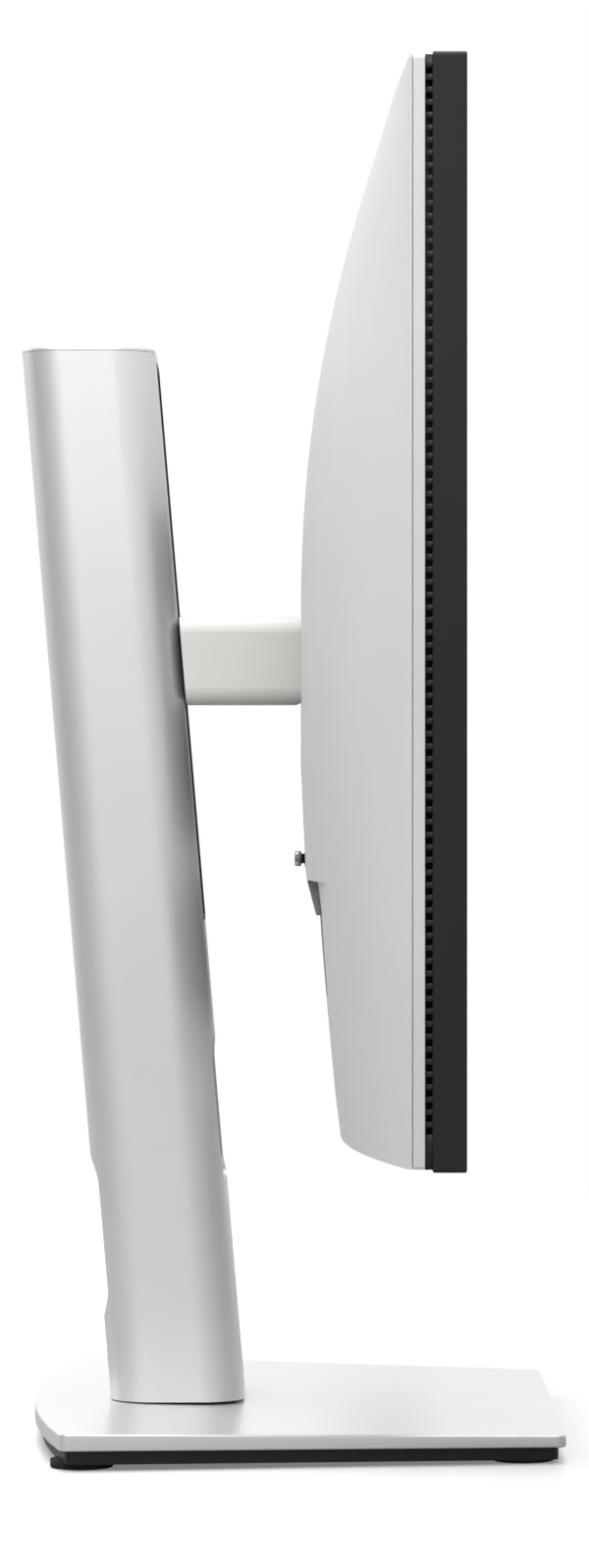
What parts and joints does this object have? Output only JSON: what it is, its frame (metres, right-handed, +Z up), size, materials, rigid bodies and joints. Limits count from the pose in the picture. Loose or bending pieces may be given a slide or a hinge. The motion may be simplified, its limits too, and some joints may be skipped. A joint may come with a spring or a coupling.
{
  "type": "computer monitor",
  "caption": "Widescreen desktop monitor on a leaning column stand with height, tilt, swivel and pivot adjustment and a wedge-shaped base.",
  "frame": {"origin": "on the desk surface, midway across the base, under the middle of the whole depth", "axes": "+Z up, -Y the way the screen faces, +X along the width of the head"},
  "size_m": [0.6112, 0.1945, 0.47],
  "materials": {
    "base_metal": "fine blasted, clear coated",
    "weight_steel": "plain rolled",
    "black_plastic": "fine grain",
    "rubber": "matte",
    "bearing_metal": "turned",
    "screw_steel": "zinc plated",
    "column_metal": "fine blasted, clear coated",
    "strip_steel": "polished spring steel",
    "pad_plastic": "smooth",
    "arm_plastic": "fine grain, warm grey",
    "bracket_metal": "powder coat",
    "sheet_metal": "galvanised",
    "silver_plastic": "fine grain, silver",
    "band_plastic": "smooth, silver",
    "screen": "anti-glare",
    "film": "satin film",
    "acrylic": "clear",
    "led": "phosphor",
    "board": "solder mask",
    "socket_metal": "nickel",
    "lamp": "clear",
    "cap_metal": "smooth",
    "hood_plastic": "fine grain, mid grey"
  },
  "bodies": {
    "base": {"base_plate": "base_metal", "base_weight": "weight_steel", "base_skirt": "black_plastic", "base_feet": "rubber", "swivel_race": "bearing_metal", "base_screws": "screw_steel"},
    "column": {"column_shell": "column_metal", "column_cap": "column_metal", "column_foot": "black_plastic", "cable_duct": "black_plastic", "guide_rails": "sheet_metal", "rail_back": "sheet_metal", "spring_strip": "strip_steel", "column_screws": "screw_steel"},
    "thumbscrew": {"column_thumbscrew": "screw_steel"},
    "carriage": {"slide_block": "bracket_metal", "glide_pads": "pad_plastic", "spring_axle": "screw_steel", "arm_frame": "bracket_metal", "arm_screws": "screw_steel", "arm_cover": "arm_plastic", "tilt_pin": "screw_steel", "tilt_washers": "pad_plastic"},
    "drum": {"spring_drum": "strip_steel"},
    "tilt_head": {"tilt_bracket": "bracket_metal", "pivot_ring": "pad_plastic", "pivot_nut": "screw_steel"},
    "head": {"stand_plate": "bracket_metal", "rear_chassis": "sheet_metal", "cover_well": "black_plastic", "rear_cover": "silver_plastic", "mid_band": "band_plastic", "vent_strip": "black_plastic", "front_frame": "black_plastic", "screen_glass": "screen", "diffuser_sheets": "film", "light_guide": "acrylic", "led_strip": "led", "back_reflector": "film", "panel_tray": "sheet_metal", "main_board": "board", "power_board": "board", "board_shield": "sheet_metal", "port_bay": "hood_plastic", "power_inlet": "black_plastic", "video_sockets": "socket_metal", "usb_sockets": "socket_metal", "joystick_board": "board", "power_lamp": "lamp", "panel_screws": "screw_steel"},
    "release": {"release_button": "black_plastic", "release_latch": "sheet_metal"},
    "stick_gimbal": {"joystick_gimbal": "pad_plastic"},
    "stick_stem": {"joystick_stem": "screw_steel"},
    "stick_cap": {"joystick_cap": "cap_metal"},
    "power": {"power_button": "silver_plastic"}
  },
  "joints": [
    {"name": "swivel", "type": "hinge", "parent": "base", "child": "column", "pos_m": [0, 0.04265, 0.012], "axis": [0, 0, 1], "range_deg": [-30, 30]},
    {"name": "height", "type": "slide", "parent": "column", "child": "carriage", "axis": [0, 0.0845, 0.9964], "range_m": [-0.07, 0.08]},
    {"name": "tilt", "type": "hinge", "parent": "carriage", "child": "tilt_head", "pos_m": [0, 0.0095, 0.282], "axis": [-1, 0, 0], "range_deg": [-5, 21]},
    {"name": "pivot", "type": "hinge", "parent": "tilt_head", "child": "head", "pos_m": [0, -0.018, 0.282], "axis": [0, 1, 0], "range_deg": [0, 24]},
    {"name": "drum_turn", "type": "hinge", "parent": "carriage", "child": "drum", "pos_m": [0, 0.07349, 0.28132], "axis": [1, 0, 0], "range_deg": [-459, 402]},
    {"name": "thumbscrew_turn", "type": "hinge", "parent": "column", "child": "thumbscrew", "pos_m": [0, 0.04265, 0.01], "axis": [0, 0, 1], "continuous": true},
    {"name": "release_press", "type": "slide", "parent": "head", "child": "release", "axis": [0, -1, 0], "range_m": [0, 0.0025], "stiffness_N_per_m": 1200},
    {"name": "stick_up_down", "type": "hinge", "parent": "head", "child": "stick_gimbal", "pos_m": [0.09, -0.014, 0.2082], "axis": [1, 0, 0], "range_deg": [-6, 6], "stiffness_Nm_per_rad": 0.05},
    {"name": "stick_left_right", "type": "hinge", "parent": "stick_gimbal", "child": "stick_stem", "pos_m": [0.09, -0.014, 0.2082], "axis": [0, 0, 1], "range_deg": [-6, 6], "stiffness_Nm_per_rad": 0.05},
    {"name": "stick_press", "type": "slide", "parent": "stick_stem", "child": "stick_cap", "axis": [0, -1, 0], "range_m": [0, 0.0006], "stiffness_N_per_m": 1500},
    {"name": "power_press", "type": "slide", "parent": "head", "child": "power", "axis": [0, -1, 0], "range_m": [0, 0.0005], "stiffness_N_per_m": 1500}
  ],
  "couplings": [
    {"joint": "drum_turn", "follows": "height", "rad_per_m": -100}
  ]
}
